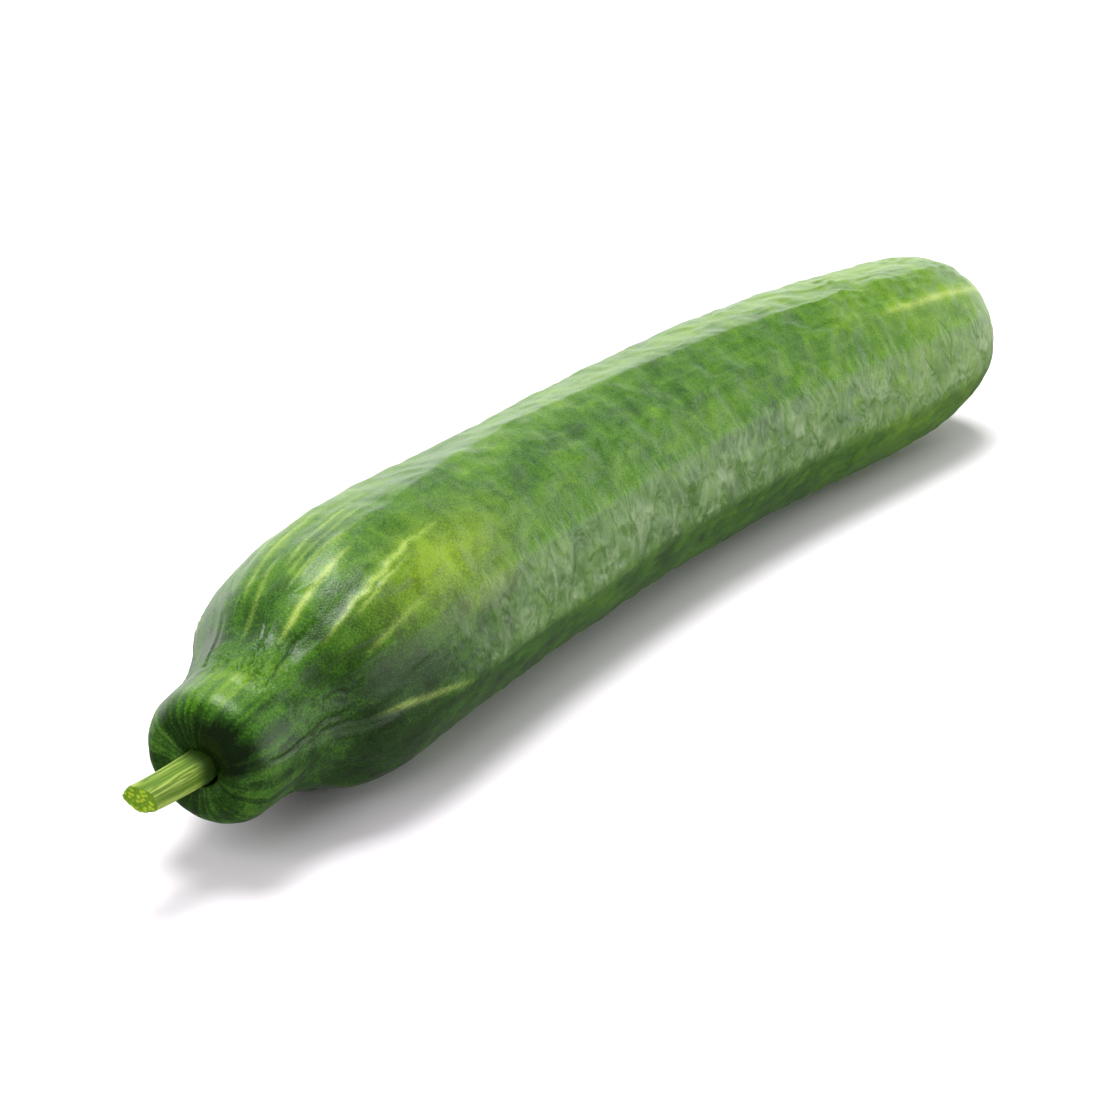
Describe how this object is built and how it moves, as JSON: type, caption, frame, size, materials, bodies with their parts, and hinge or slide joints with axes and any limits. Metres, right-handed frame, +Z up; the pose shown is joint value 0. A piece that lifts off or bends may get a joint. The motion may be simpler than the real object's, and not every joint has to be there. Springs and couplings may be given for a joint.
{
  "type": "cucumber",
  "caption": "Long, gently bent green cucumber with a narrow folded neck, soft ribs and a short cut stalk, lying on its side.",
  "frame": {"origin": "under the middle of the whole cucumber's box, stalk included, on the surface that it lies on", "axes": "+X from the stalk end to the blossom end, +Y to the side that the fruit bulges to, +Z up"},
  "size_m": [0.322, 0.0616, 0.0528],
  "materials": {
    "skin": "satin, waxy, mottled mid and dark green with pale yellow-green streaks",
    "stalk": "matte, finely ribbed, pale yellow-green with a moist cut face"
  },
  "bodies": {
    "root": {"fruit": "skin", "stem": "stalk"}
  },
  "joints": []
}
